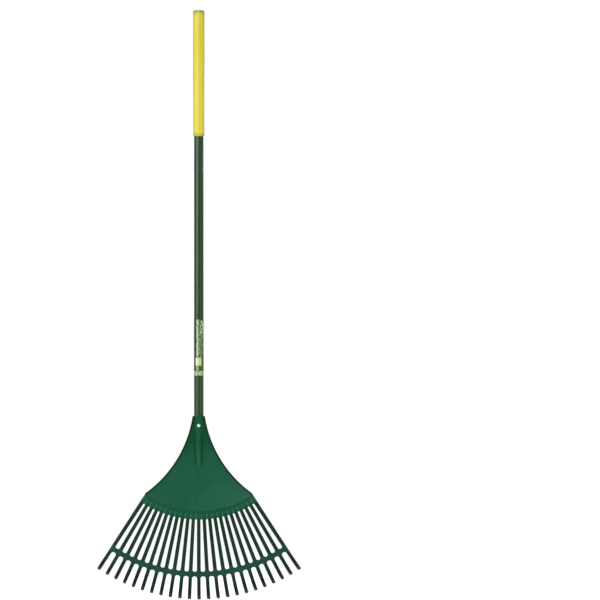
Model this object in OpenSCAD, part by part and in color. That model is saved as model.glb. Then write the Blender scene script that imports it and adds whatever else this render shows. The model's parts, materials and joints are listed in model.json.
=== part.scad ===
// Leaf rake: a moulded 24 in comb head on a 54 in hollow handle with a long hand grip.
// The origin is the middle of the grip's straight stretch and +Z runs up the handle.
// The head hangs below with its face towards -Y, and the tine tips hook back towards +Y.

/* [Handle] */
// Outside diameter of the handle tube
tube_d = 28.6; // [26:0.1:31]
// Wall of the handle tube
tube_wall = 2.8; // [2:0.1:4]
// Length of the handle tube
tube_len = 1358; // [1100:1:1450]
// Length of the tube that sits in the head's socket
socket_depth = 138; // [120:1:138]
// Length of the core plug in the tube's lower end
core_plug_len = 128; // [100:1:160]
// Length of the end plug's body in the tube's upper end
end_plug_len = 26; // [10:1:60]
// Thickness of the end plug's flange, which covers the tube's upper end
end_plug_flange = 2; // [1:0.5:4]

/* [Grip] */
// Length of the hand grip
grip_len = 380; // [300:1:450]
// Diameter of the grip's straight upper stretch
grip_d = 35.6; // [34:0.1:38]
// Diameter of the grip's lower end, above its bead
grip_low_d = 34; // [32:0.1:35]
// Diameter of the bead round the grip's lower edge
grip_bead_d = 35; // [33:0.1:37]
// Length of the straight upper stretch
grip_straight = 140; // [80:1:200]
// Radius of the grip's rounded top edge
grip_edge_r = 6; // [2:0.5:8]
// Thickness of the grip's closed top
grip_top_t = 3; // [2:0.5:5]

/* [Label] */
// Length of the printed film round the handle
label_len = 174; // [80:1:220]
// Height of the film's lower edge above the socket's mouth
label_up = 119; // [80:1:200]
// Thickness of the film
label_t = 0.2; // [0.1:0.05:0.3]

/* [Head] */
// Number of tines, always odd
tine_count = 23; // [21:2:23]
// Angle from one tine to the next, in degrees
tine_pitch = 3.02; // [2.95:0.01:3.05]
// Distance from the socket's mouth to the tine tips, seen from the front
tip_r = 558.2; // [540:0.1:565]
// Distance from the socket's mouth to the top of the slots between the tines
slot_top_r = 312; // [300:1:320]
// Inner and outer radius of the cross band that ties the tines
band_in_r = 471; // [460:1:472]
band_out_r = 485; // [480:1:490]
// Width of a tine at the top of the slots, at the cross band and below it
tine_top_w = 10.7; // [10:0.1:11]
tine_band_w = 11.6; // [11:0.1:12]
tine_low_w = 10.9; // [10:0.1:11.5]
// Extra width on the outer side of each outermost tine at its root, which fades out by the band
outer_extra = 1.4; // [0:0.1:2]
// Thickness of a tine
tine_t = 4.6; // [4:0.1:5]
// Thickness of the fan blade
blade_t = 3; // [2.5:0.1:4]
// Distance of the blade's face in front of the handle's axis
face_y = 12; // [11:0.1:13]
// Radius of the concave flanks of the fan
flank_r = 350; // [345:1:355]
// Width of the raised rim along the flanks
rim_w = 6; // [4:0.5:8]
// Height of the rim over both faces of the blade
rim_h = 1.4; // [0.5:0.1:2.5]
// Outside radius of the socket at its mouth and at its closed end
socket_mouth_r = 18.4; // [18:0.1:19]
socket_end_r = 16.8; // [16.5:0.1:17.5]

/* [Tine shape] */
// Backward lean of a tine where its hook starts, in degrees
bow_angle = 16; // [8:1:20]
// Backward lean of a tine's tip, in degrees
hook_angle = 78; // [60:1:85]
// Radius of the hook's bend
hook_r = 50; // [40:1:55]
// Straight length of the tip after the bend
tip_len = 12; // [8:1:16]

/* [Screw] */
// Distance of the screw below the socket's mouth
screw_down = 28; // [20:1:40]
// Diameter and height of the pan head
screw_head_d = 9.8; // [9:0.1:11]
screw_head_h = 3.2; // [2.5:0.1:4]
// Diameter of the thread, and length of the screw under its head
screw_d = 4.8; // [4:0.1:5.5]
screw_len = 25; // [19:1:32]

/* [Hidden] */
// Radial clearance between pieces that slip together, and under the label's film
slip = 0.1;
film_slip = 0.05;
// Clearance between the halves of the cross band, and between a tine and the head
tine_gap = 0.8;
root_gap = 0.3;
// More than any piece measures from front to back
deep = 240;

tube_r = tube_d / 2;
core_r = tube_r - tube_wall;
grip_r = grip_d / 2;
grip_low_r = grip_low_d / 2;

// Heights above the socket's mouth
tube_top = tube_len - socket_depth;
grip_top = tube_top + end_plug_flange + grip_top_t;
grip_bottom = grip_top - grip_len;
straight_top = grip_top - grip_edge_r;
straight_bottom = straight_top - grip_straight;
grip_taper_bottom = grip_bottom + 45;
grip_bead_r = 4;
plug_chamfer = 1.5;

// The flank arcs' centres are this far to each side of the socket's mouth, and above it
flank_x = 364.7;
flank_z = 52.1;
mouth_x = flank_x - sqrt(pow(flank_r, 2) - pow(flank_z, 2));
half_count = (tine_count - 1) / 2;
fan_angle = half_count * tine_pitch;

// Ribs run from the tines up onto the blade as far as a shallow groove
rib_top_r = slot_top_r - 17;
groove_w = 6;
recess = 1;

// Directions of the back ribs, where they start, their width and their height there
back_ribs = [-22, -11, 0, 11, 22];
back_rib_r = 40;
back_rib_w = 2.6;
back_rib_h = 7;

// The bore runs this far past the tube, and the socket as far again past the bore
socket_floor = 1;
bore_end = socket_depth + socket_floor;
socket_end = bore_end + socket_floor;

// The screw's pad stands just proud of the socket, and carries the screw's head
pad_front = socket_mouth_r + 0.2;
pad_r = screw_head_d / 2 + 1.6;
pad_depth = pad_front - tube_r + 1;
screw_core_r = screw_d / 2 - 0.7;
screw_tip_y = screw_len - pad_front;
thread_pitch = 1.8;
thread_start = 1;
screw_point = 3;
screw_dome_r = 7;
recess_l = 5.2;
recess_w = 1;
recess_d = 1.8;

tine_mid_y = -face_y + tine_t / 2;

// A tine is a little thinner in its hook than above it, and again at its tip, and each stretch
// starts this far inside the one before
hook_t = tine_t - 0.2;
tip_t = hook_t - 0.2;
tip_r_end = tine_low_w / 2 - 0.1;
knuckle_r = tine_t / 2 - 0.1;
lap = 1;

// Radii of the rounded ends of the slots above the band and of the gaps below it
half_sin = sin(tine_pitch / 2);
half_cos = cos(tine_pitch / 2);
slot_top_end = (slot_top_r * half_sin - tine_top_w / 2) / (1 - half_sin);
slot_low_end = (band_in_r * half_sin - tine_band_w / 2) / (1 + half_sin);
gap_end = (band_out_r * half_sin - tine_low_w / 2) / (1 - half_sin);
slot_low_r = band_in_r - slot_low_end;
gap_r = band_out_r + gap_end;

// The blade ends in short stubs between the slots' round tops, and each tine's hinge is at its stub
stub_end_r = slot_top_r + slot_top_end + 1;
hinge_r = stub_end_r + root_gap + tine_t / 2;

// Seen from the side, a tine leans back slowly from its hinge and then bends into its hook
hook_centre_r = tip_r - (hook_r + tine_t / 2) * sin(hook_angle) - tip_len * cos(hook_angle);
bow_end_r = hook_centre_r + hook_r * sin(bow_angle);
bow_r = (bow_end_r - hinge_r) / sin(bow_angle);
hook_centre_y = bow_r * (1 - cos(bow_angle)) + hook_r * cos(bow_angle);

function lerp(a, b, t) = a + (b - a) * t;
function reversed(list) = [for (i = [len(list) - 1:-1:0]) list[i]];

// Half the width of a tine at a radius between the slots' tops and the band
function tine_half(r) = lerp(tine_top_w, tine_band_w, (r - slot_top_r) / (slot_low_r - slot_top_r)) / 2;

// The outer tine's outer edge is a straight line, this far from the line through the mouth.
// The fan's corner is where that line meets the flank arc.
edge_off = tine_half(stub_end_r) + outer_extra;
rib_half_w = tine_half(stub_end_r) - 0.15;
flank_off = flank_x * cos(fan_angle) + flank_z * sin(fan_angle) - edge_off;
flank_chord = sqrt(pow(flank_r, 2) - pow(flank_off, 2));
corner = [flank_x - flank_off * cos(fan_angle) + flank_chord * sin(fan_angle),
    flank_z - flank_off * sin(fan_angle) - flank_chord * cos(fan_angle)];

// A point on the outer tine's outer edge, this far along it from level with the mouth
function edge_point(r) = [edge_off * cos(fan_angle) + r * sin(fan_angle),
    edge_off * sin(fan_angle) - r * cos(fan_angle)];

head_colour = [0.13, 0.36, 0.26];
tube_colour = [0.2, 0.33, 0.22];
grip_colour = [0.88, 0.8, 0.28];
label_colour = [0.8, 0.82, 0.5];
wood_colour = [0.72, 0.55, 0.36];
plug_colour = [0.1, 0.1, 0.1];
zinc_colour = [0.8, 0.82, 0.82];

$fn = 96;

TINES = [for (i = [1:tine_count]) str("tine_", i < 10 ? "0" : "", i)];

// The children are drawn with the socket's mouth as their origin
module at_mouth() {
    translate([0, 0, -(straight_top + straight_bottom) / 2]) children();
}

// Turns the children from straight down to a tine's direction; 0 is the middle tine
module along_tine(angle) {
    rotate([0, -angle, 0]) children();
}

// A flat outline, drawn as seen from the front, becomes a plate from front_y backwards
module plate(front_y, thickness) {
    translate([0, front_y + thickness, 0]) rotate([90, 0, 0]) linear_extrude(thickness) children();
}

// A flat outline, drawn with depth as x and height as y, becomes a block of this width
module side_plate(width) {
    rotate([90, 0, 90]) linear_extrude(width, center = true) children();
}

// A cylinder along Y from front_y backwards
module peg(front_y, length, r) {
    translate([0, front_y + length, 0]) rotate([90, 0, 0]) cylinder(h = length, r = r);
}

// One slot between two tines, with round ends, widening downwards
module slot_outline() {
    translate([0, -slot_top_r - slot_top_end]) circle(slot_top_end);
    translate([0, -slot_low_r]) circle(slot_low_end);
    polygon([[-slot_top_end, -slot_top_r - slot_top_end], [slot_top_end, -slot_top_r - slot_top_end],
        [slot_low_end, -slot_low_r], [-slot_low_end, -slot_low_r]]);
}

// One gap between two tines below the cross band, round at its top
module gap_outline() {
    far_half = tip_r * half_sin - tine_low_w / 2;
    translate([0, -gap_r]) circle(gap_end);
    polygon([[-gap_end, -gap_r], [gap_end, -gap_r], [far_half, -tip_r], [-far_half, -tip_r]]);
}

// The slots, each on the line between its two tines
module all_slots() {
    for (i = [0:tine_count - 2]) rotate((i - half_count + 0.5) * tine_pitch) slot_outline();
}

// The fan's outline: concave flanks from the mouth to the corners, then the outer tines' edges.
// The flank circles cut it from a simpler outline that runs past them.
module fan_outline() {
    past = 5;
    right = [[mouth_x + past, 0], edge_point(norm(corner) - 6 * past), edge_point(tip_r)];
    difference() {
        polygon(concat(right, reversed([for (p = right) [-p.x, p.y]])));
        for (side = [-1, 1]) translate([side * flank_x, flank_z]) circle(flank_r);
    }
}

// The tines' roots: ribs on the blade that run on as short stubs to the tines' hinges
module rib_outlines() {
    for (i = [0:tine_count - 1]) {
        outer = i == 0 || i == tine_count - 1;
        top = outer ? norm(corner) + 1 : rib_top_r;
        left = rib_half_w + (i == 0 ? outer_extra : 0);
        right = rib_half_w + (i == tine_count - 1 ? outer_extra : 0);
        rotate((i - half_count) * tine_pitch)
            translate([-left, -stub_end_r]) square([left + right, stub_end_r - top]);
    }
}

// The raised rim that stiffens the flanks, as far as a little past the tops of the outer ribs
module rim_outline() {
    intersection() {
        fan_outline();
        circle(norm(corner) + 4);
        for (side = [-1, 1]) translate([side * flank_x, flank_z]) circle(flank_r + rim_w);
    }
}

// The blade, thinner in the groove and between the ribs, with its ribs and its rim
module blade() {
    end_r = slot_top_r + slot_top_end;
    difference() {
        plate(-face_y, blade_t) difference() {
            intersection() {
                fan_outline();
                circle(end_r);
            }
            all_slots();
        }
        plate(-face_y - 1, recess + 1) difference() {
            circle(end_r + 1);
            circle(rib_top_r - groove_w);
        }
    }
    plate(-face_y, tine_t) rib_outlines();
    plate(-face_y - rim_h, blade_t + 2 * rim_h) rim_outline();
}

// One stiffening rib on the blade's back, highest beside the socket
module back_rib() {
    inside = -face_y + blade_t / 2;
    back = -face_y + blade_t;
    side_plate(back_rib_w) polygon([[inside, -back_rib_r], [back + back_rib_h, -back_rib_r],
        [back + 1, -rib_top_r - lap], [inside, -rib_top_r - lap]]);
}

// The blade with its socket, whose closed end is round, and the pad for the screw
module rake_head() {
    color(head_colour) at_mouth() difference() {
        union() {
            blade();
            translate([0, 0, -socket_end]) cylinder(h = socket_end, r1 = socket_end_r, r2 = socket_mouth_r);
            translate([0, 0, -socket_end]) sphere(socket_end_r - 0.2);
            for (angle = back_ribs) along_tine(angle) back_rib();
            translate([0, 0, -screw_down]) peg(-pad_front, pad_depth, pad_r);
        }
        translate([0, 0, -bore_end]) cylinder(h = bore_end + 1, r = tube_r + slip);
        translate([0, 0, -screw_down]) peg(-pad_front - 1, pad_front, screw_d / 2 + slip);
    }
}

// The tube has one hole, on its front, for the screw
module handle_tube() {
    color(tube_colour) at_mouth() difference() {
        translate([0, 0, -socket_depth]) cylinder(h = tube_len, r = tube_r);
        translate([0, 0, -socket_depth - 1]) cylinder(h = tube_len + 2, r = core_r);
        translate([0, 0, -screw_down]) peg(-tube_r - 1, tube_r, screw_d / 2 + slip);
    }
}

// A round plug with chamfered ends, standing on the origin
module plug(length, r) {
    c = plug_chamfer;
    rotate_extrude() polygon([[0, 0], [r - c, 0], [r, c], [r, length - c], [r - c, length], [0, length]]);
}

// The pilot hole is as wide as the screw's core, so the thread bites into its wall
module core_plug() {
    color(wood_colour) at_mouth() difference() {
        translate([0, 0, -socket_depth]) plug(core_plug_len, core_r - slip / 2);
        translate([0, 0, -screw_down]) peg(-tube_r, tube_r + screw_tip_y + 1, screw_core_r);
    }
}

// Its flange is as wide as the tube and lies on the tube's end, under the grip's closed top
module end_plug() {
    color(plug_colour) at_mouth() {
        translate([0, 0, tube_top - end_plug_len]) plug(end_plug_len, core_r - slip / 2);
        translate([0, 0, tube_top]) cylinder(h = end_plug_flange, r = tube_r);
    }
}

// A sleeve with a closed top, a slow taper down to a bead, and a bore for the tube
module hand_grip() {
    color(grip_colour) at_mouth() difference() {
        union() {
            translate([0, 0, straight_bottom]) cylinder(h = grip_straight, r = grip_r);
            translate([0, 0, grip_taper_bottom])
                cylinder(h = straight_bottom - grip_taper_bottom, r1 = grip_low_r, r2 = grip_r);
            translate([0, 0, grip_bottom]) cylinder(h = grip_taper_bottom - grip_bottom, r = grip_low_r);
            rotate_extrude() {
                translate([grip_bead_d / 2 - grip_bead_r, grip_bottom + grip_bead_r]) circle(grip_bead_r);
                translate([grip_r - grip_edge_r, straight_top]) circle(grip_edge_r);
                translate([0, straight_top]) square([grip_r - grip_edge_r, grip_edge_r]);
            }
        }
        translate([0, 0, grip_bottom - 1])
            cylinder(h = tube_top + end_plug_flange - grip_bottom + 1, r = tube_r + film_slip);
    }
}

// Pan head with a cross recess, and a tapering point; the thread is a row of rings
module head_screw() {
    turns = floor((screw_len - thread_start - screw_point) / thread_pitch);
    color(zinc_colour) at_mouth() translate([0, -pad_front, -screw_down]) rotate([-90, 0, 0]) {
        difference() {
            intersection() {
                translate([0, 0, -screw_head_h]) cylinder(h = screw_head_h, r = screw_head_d / 2);
                translate([0, 0, screw_dome_r - screw_head_h]) sphere(screw_dome_r);
            }
            for (size = [[recess_l, recess_w], [recess_w, recess_l]])
                translate([-size.x / 2, -size.y / 2, -screw_head_h - 1]) cube([size.x, size.y, recess_d + 1]);
        }
        rotate_extrude() polygon(concat([[0, 0], [screw_core_r, 0], [screw_core_r, thread_start]],
            [for (i = [0:turns - 1], half = [0.5, 1])
                [half == 1 ? screw_core_r : screw_d / 2, thread_start + (i + half) * thread_pitch]],
            [[0, screw_len]]));
    }
}

// A thin film round the whole tube
module handle_label() {
    inner = tube_r + film_slip;
    color(label_colour) at_mouth() translate([0, 0, label_up]) difference() {
        cylinder(h = label_len, r = inner + label_t);
        translate([0, 0, -1]) cylinder(h = label_len + 2, r = inner);
    }
}

// A point on the line half way to the next tine, less the clearance to that tine's half
function cell_edge(side, r) = [side * (r * half_sin - tine_gap / 2 * half_cos),
    -r * half_cos - tine_gap / 2 * half_sin];

// One side of a tine from the top down: half way to the next tine, or its own outer edge
function cell_side(side, has_next) = has_next
    ? [cell_edge(side, hinge_r - tine_t), cell_edge(side, tip_r)]
    : [for (p = [[tine_half(hinge_r) + outer_extra, hinge_r - tine_t], [tine_band_w / 2, slot_low_r],
        [tine_low_w / 2, gap_r], [tine_low_w / 2, tip_r]]) [side * p[0], -p[1]]];

// A tine seen from the front, with its halves of the cross band's bridges to its neighbours
module tine_outline(has_left, has_right) {
    difference() {
        polygon(concat(cell_side(1, has_right), reversed(cell_side(-1, has_left))));
        for (side = [-1, 1]) if (side < 0 ? has_left : has_right) rotate(side * tine_pitch / 2) {
            slot_outline();
            gap_outline();
        }
    }
}

// Part of a ring round the origin: the angles count from straight towards -X, downwards
module arc_strip(r, thickness, from, to) {
    reach = 1.4 * r;
    intersection() {
        difference() {
            circle(r + thickness / 2);
            circle(r - thickness / 2);
        }
        polygon([[0, 0], [-reach * cos(from), -reach * sin(from)], [-reach * cos(to), -reach * sin(to)]]);
    }
}

// A tine seen from its side: the round end at its hinge, the slow bow and the hook's bend
module tine_side() {
    lap_angle = lap / hook_r * 180 / PI;
    translate([0, -hinge_r]) circle(knuckle_r);
    translate([bow_r, -hinge_r]) arc_strip(bow_r, tine_t, 0, bow_angle);
    translate([hook_centre_y, -hook_centre_r])
        arc_strip(hook_r, hook_t, bow_angle - lap_angle, hook_angle);
}

// The straight end of a tine, drawn along -Z from the end of the bend
module tine_tip() {
    plate(-tip_t / 2, tip_t) {
        translate([0, tip_r_end - tip_len]) circle(tip_r_end);
        translate([-tip_r_end, tip_r_end - tip_len]) square([2 * tip_r_end, tip_len - tip_r_end + lap]);
    }
}

module tine(i) {
    color(head_colour) at_mouth() along_tine((i - half_count) * tine_pitch) translate([0, tine_mid_y, 0]) {
        intersection() {
            plate(-deep / 2, deep) tine_outline(i > 0, i < tine_count - 1);
            side_plate(deep) tine_side();
        }
        translate([0, hook_centre_y - hook_r * cos(hook_angle), -hook_centre_r - hook_r * sin(hook_angle)])
            rotate([hook_angle, 0, 0]) tine_tip();
    }
}

rake_head();
handle_tube();
core_plug();
end_plug();
hand_grip();
head_screw();
handle_label();
for (i = [0:tine_count - 1]) tine(i);
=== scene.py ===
import json
import math

import bpy
import bmesh
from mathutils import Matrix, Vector


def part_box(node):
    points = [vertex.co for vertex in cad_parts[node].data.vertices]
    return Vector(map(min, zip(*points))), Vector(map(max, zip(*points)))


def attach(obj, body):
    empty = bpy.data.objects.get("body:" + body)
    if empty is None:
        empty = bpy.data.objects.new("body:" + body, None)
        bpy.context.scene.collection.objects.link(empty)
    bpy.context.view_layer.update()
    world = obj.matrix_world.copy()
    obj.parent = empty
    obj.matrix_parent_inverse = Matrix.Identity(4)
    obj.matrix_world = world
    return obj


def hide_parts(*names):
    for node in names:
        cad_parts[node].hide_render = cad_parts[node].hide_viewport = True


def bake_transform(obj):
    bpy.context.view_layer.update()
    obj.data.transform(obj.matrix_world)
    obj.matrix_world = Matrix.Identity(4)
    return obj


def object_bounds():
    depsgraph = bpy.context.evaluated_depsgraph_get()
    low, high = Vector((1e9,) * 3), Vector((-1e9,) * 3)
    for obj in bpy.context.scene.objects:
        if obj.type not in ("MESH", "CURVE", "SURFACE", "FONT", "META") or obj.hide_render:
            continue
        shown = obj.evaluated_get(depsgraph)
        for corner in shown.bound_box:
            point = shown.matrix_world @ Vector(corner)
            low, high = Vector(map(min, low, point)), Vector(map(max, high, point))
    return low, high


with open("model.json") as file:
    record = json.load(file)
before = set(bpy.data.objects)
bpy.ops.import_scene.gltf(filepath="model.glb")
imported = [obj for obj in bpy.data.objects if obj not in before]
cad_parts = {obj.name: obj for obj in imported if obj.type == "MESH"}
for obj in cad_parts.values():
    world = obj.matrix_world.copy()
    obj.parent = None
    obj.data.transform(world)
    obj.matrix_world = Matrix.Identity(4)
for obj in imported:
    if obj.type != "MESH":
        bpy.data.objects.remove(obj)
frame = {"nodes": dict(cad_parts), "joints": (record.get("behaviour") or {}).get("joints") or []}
cad_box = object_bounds()

HEAD_BODY = "handle_and_fan"
MOUTH_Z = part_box("rake_head")[1].z
GRIP_TOP = (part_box("hand_grip")[1].z - MOUTH_Z) * 1000
GRIP_BOTTOM = (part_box("hand_grip")[0].z - MOUTH_Z) * 1000
LABEL_LOW, LABEL_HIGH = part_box("handle_label")[0].z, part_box("handle_label")[1].z

# The head's sizes, as in the CAD source
TINE_COUNT = 23
HALF_COUNT = (TINE_COUNT - 1) // 2
PITCH = math.radians(3.02)
HALF_SIN = math.sin(PITCH / 2)
HALF_TAN = math.tan(PITCH / 2)
FAN_ANGLE = HALF_COUNT * PITCH
TIP_R = 558.2
SLOT_TOP_R = 312.0
BAND_IN_R, BAND_OUT_R = 471.0, 485.0
BAND_MID_R = (BAND_IN_R + BAND_OUT_R) / 2
TOP_W, BAND_W, LOW_W = 10.7, 11.6, 10.9
OUTER_EXTRA = 1.4
TINE_T = 4.6
ROOT_GAP = 0.3
TINE_MID_Y = -9.7
FACE_Y, BACK_Y = -12.0, -9.0
BLADE_MID_Y = (FACE_Y + BACK_Y) / 2
BLADE_HALF = (BACK_Y - FACE_Y) / 2
BEAD_R = 2.9
FLANK_R = 350.0
FLANK_X, FLANK_Z = 364.7, 52.1
SOCKET_MOUTH_R, SOCKET_END_R = 18.4, 16.8
BORE_R, BORE_DEPTH = 14.42, 139.0
SOCKET_LENGTH = 140.0
SCREW_DOWN, PAD_R, PAD_FRONT = 28.0, 6.5, 18.6
BACK_RIB_DEGREES = (-22, -11, 0, 11, 22)
RIB_TOP_R = SLOT_TOP_R - 17
GROOVE_R = RIB_TOP_R - 6
HOOK_R, HOOK_ANGLE, BOW_ANGLE, TIP_LEN = 50.0, math.radians(78), math.radians(16), 12.0

SLOT_TOP_END = (SLOT_TOP_R * HALF_SIN - TOP_W / 2) / (1 - HALF_SIN)
SLOT_LOW_END = (BAND_IN_R * HALF_SIN - BAND_W / 2) / (1 + HALF_SIN)
GAP_END = (BAND_OUT_R * HALF_SIN - LOW_W / 2) / (1 - HALF_SIN)
SLOT_LOW_R = BAND_IN_R - SLOT_LOW_END
GAP_R = BAND_OUT_R + GAP_END
HINGE_R = (MOUTH_Z - frame["joints"][HALF_COUNT]["pos_m"][2]) * 1000
HOOK_OUTER_R = HOOK_R + TINE_T / 2
HOOK_CENTRE_R = TIP_R - HOOK_OUTER_R * math.sin(HOOK_ANGLE) - TIP_LEN * math.cos(HOOK_ANGLE)
BOW_R = (HOOK_CENTRE_R + HOOK_R * math.sin(BOW_ANGLE) - HINGE_R) / math.sin(BOW_ANGLE)
HOOK_CENTRE_Y = BOW_R * (1 - math.cos(BOW_ANGLE)) + HOOK_R * math.cos(BOW_ANGLE)


def top_half(r):
    """Half the width of a tine between the slots' tops and the band."""
    return (TOP_W + (BAND_W - TOP_W) * (r - SLOT_TOP_R) / (SLOT_LOW_R - SLOT_TOP_R)) / 2


# The fan's corner is where the outer tine's outer edge meets the flank's arc
EDGE_OFF = top_half(HINGE_R - TINE_T / 2 - ROOT_GAP) + OUTER_EXTRA
FLANK_OFF = FLANK_X * math.cos(FAN_ANGLE) + FLANK_Z * math.sin(FAN_ANGLE) - EDGE_OFF
FLANK_CHORD = math.sqrt(FLANK_R**2 - FLANK_OFF**2)
CORNER_R = math.hypot(
    FLANK_X - FLANK_OFF * math.cos(FAN_ANGLE) + FLANK_CHORD * math.sin(FAN_ANGLE),
    FLANK_Z - FLANK_OFF * math.sin(FAN_ANGLE) - FLANK_CHORD * math.cos(FAN_ANGLE),
)


def place(x, y, z):
    """A point of the frame, in metres, from millimetres."""
    return Vector((x / 1000, y / 1000, MOUTH_Z + z / 1000))


def lerp(a, b, t):
    return a + (b - a) * t


def clamp(v):
    return max(0.0, min(1.0, v))


def smooth(t):
    t = clamp(t)
    return t * t * (3 - 2 * t)


def smooth_max(a, b, k):
    """The larger of two heights, rounded over where they are within k of each other."""
    h = max(k - abs(a - b), 0.0) / k
    return max(a, b) + h * h * k / 4


def round_edge(t):
    """The height of an edge's quarter circle: 0 at the edge, and 1 where t is 1 or more."""
    return math.sqrt(1 - (1 - clamp(t)) ** 2)


def arc(x, y, r, start, end, steps):
    """Points round a circle from one angle to another, in degrees, with both ends."""
    angles = [math.radians(lerp(start, end, i / steps)) for i in range(steps + 1)]
    return [(x + r * math.cos(a), y + r * math.sin(a)) for a in angles]


# ---------------------------------------------------------------- meshes

# Points closer than this many metres are one point
WELD = 1e-7


def piece(name, points, faces, material, sharp, body=HEAD_BODY, tones=None):
    """A mesh object that rides on a body, with edges sharper than an angle in degrees kept sharp.
    tones darken (up to 1) or lighten (down to -1) its points."""
    mesh = bpy.data.meshes.new(name)
    mesh.from_pydata([tuple(p) for p in points], [], faces)
    if tones:
        mesh.attributes.new("tone", "FLOAT", "POINT").data.foreach_set("value", tones)
    bm = bmesh.new()
    bm.from_mesh(mesh)
    bmesh.ops.remove_doubles(bm, verts=bm.verts, dist=WELD)
    bmesh.ops.recalc_face_normals(bm, faces=bm.faces)
    bm.to_mesh(mesh)
    bm.free()
    mesh.shade_smooth()
    mesh.set_sharp_from_angle(angle=math.radians(sharp))
    mesh.materials.append(material)
    obj = bpy.data.objects.new(name, mesh)
    bpy.context.scene.collection.objects.link(obj)
    if body:
        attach(obj, body)
    return obj


def loft(loops):
    """Points and faces of a closed skin through loops of equal length, with its ends capped."""
    n = len(loops[0])
    points = [p for loop in loops for p in loop]
    faces = [
        (k * n + i, k * n + (i + 1) % n, (k + 1) * n + (i + 1) % n, (k + 1) * n + i)
        for k in range(len(loops) - 1)
        for i in range(n)
    ]
    last = (len(loops) - 1) * n
    faces.append(tuple(reversed(range(n))))
    faces.append(tuple(range(last, last + n)))
    return points, faces


def revolve(profile, steps, shape):
    """Points and faces of a profile of (radius, height) turned round the handle's axis.
    A profile that starts and ends on the axis gives a closed skin. shape(r, z, angle) gives the
    radius and height that a point ends up with."""
    points, rings = [], []
    for r, z in profile:
        if r < 1e-6:
            rings.append([len(points)] * steps)
            points.append(place(0, 0, z))
            continue
        ring = []
        for i in range(steps):
            a = 2 * math.pi * i / steps
            rr, zz = shape(r, z, a)
            ring.append(len(points))
            points.append(place(rr * math.cos(a), rr * math.sin(a), zz))
        rings.append(ring)
    faces = []
    for low, high in zip(rings, rings[1:]):
        for i in range(steps):
            corners = [low[i], low[(i + 1) % steps], high[(i + 1) % steps], high[i]]
            face = tuple(dict.fromkeys(corners))
            if len(face) > 2:
                faces.append(face)
    return points, faces


def sheet_solid(front, back):
    """Points and faces of a closed solid between two grids of the same size."""
    rows, cols = len(front), len(front[0])
    points = [p for row in front for p in row] + [p for row in back for p in row]
    base = rows * cols
    faces = []
    for k in range(rows - 1):
        for i in range(cols - 1):
            a, b, c, d = k * cols + i, k * cols + i + 1, (k + 1) * cols + i + 1, (k + 1) * cols + i
            faces.append((a, b, c, d))
            faces.append((base + d, base + c, base + b, base + a))
    rim = (
        [(0, i) for i in range(cols)]
        + [(k, cols - 1) for k in range(1, rows)]
        + [(rows - 1, i) for i in range(cols - 2, -1, -1)]
        + [(k, 0) for k in range(rows - 2, 0, -1)]
    )
    for (k0, i0), (k1, i1) in zip(rim, rim[1:] + rim[:1]):
        a, b = k0 * cols + i0, k1 * cols + i1
        faces.append((b, a, base + a, base + b))
    return points, faces


# ---------------------------------------------------------------- materials


class Nodes:
    """A short way to write a node tree."""

    def __init__(self, name):
        self.mat = bpy.data.materials.new(name)
        self.mat.use_nodes = True
        self.tree = self.mat.node_tree
        self.bsdf = self.tree.nodes["Principled BSDF"]
        self.coords = self.tree.nodes.new("ShaderNodeTexCoord").outputs["Object"]

    def new(self, kind, inputs=None, **settings):
        node = self.tree.nodes.new(kind)
        for key, value in settings.items():
            setattr(node, key, value)
        for key, value in (inputs or {}).items():
            socket = node.inputs[key]
            if isinstance(value, bpy.types.NodeSocket):
                self.tree.links.new(value, socket)
            else:
                socket.default_value = value
        return node

    def link(self, out, name):
        self.tree.links.new(out, self.bsdf.inputs[name])

    def stretched(self, x, y, z):
        values = {"Vector": self.coords, "Scale": (x, y, z)}
        return self.new("ShaderNodeMapping", values).outputs["Vector"]

    def joined(self, x=0.0, y=0.0, z=0.0):
        return self.new("ShaderNodeCombineXYZ", {"X": x, "Y": y, "Z": z}).outputs["Vector"]

    def distance(self, centre):
        values = {0: self.coords, 1: centre}
        return self.new("ShaderNodeVectorMath", values, operation="DISTANCE").outputs["Value"]

    def noise(self, scale, detail, rough=0.5, vector=None, distortion=0.0):
        values = {
            "Vector": vector or self.coords,
            "Scale": scale,
            "Detail": detail,
            "Roughness": rough,
            "Distortion": distortion,
        }
        return self.new("ShaderNodeTexNoise", values).outputs["Fac"]

    def ranged(self, value, low, high, to_low, to_high):
        values = {
            "Value": value,
            "From Min": low,
            "From Max": high,
            "To Min": to_low,
            "To Max": to_high,
        }
        return self.new("ShaderNodeMapRange", values).outputs["Result"]

    def math(self, operation, a, b):
        return self.new("ShaderNodeMath", {0: a, 1: b}, operation=operation).outputs[0]

    def times(self, a, b):
        return self.math("MULTIPLY", a, b)

    def mix(self, factor, a, b):
        """A colour between a and b. The numbers are the places of a Mix node's colour sockets."""
        return self.new("ShaderNodeMix", {0: factor, 6: a, 7: b}, data_type="RGBA").outputs[2]

    def bump(self, layers):
        """Stacks bumps of (height, strength, distance in metres)."""
        normal = None
        for height, strength, distance in layers:
            values = {"Height": height, "Strength": strength, "Distance": distance}
            if normal:
                values["Normal"] = normal
            normal = self.new("ShaderNodeBump", values).outputs["Normal"]
        self.link(normal, "Normal")

    def edges(self, low, high):
        """1 on the worn, outward edges and 0 elsewhere."""
        point = self.new("ShaderNodeNewGeometry").outputs["Pointiness"]
        return self.ranged(point, low, high, 0.0, 1.0)


def srgb(r, g, b):
    """A colour of 0 to 255 per channel as the linear values that a shader takes."""

    def linear(c):
        c /= 255
        return c / 12.92 if c <= 0.04045 else ((c + 0.055) / 1.055) ** 2.4

    return (linear(r), linear(g), linear(b), 1.0)


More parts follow.
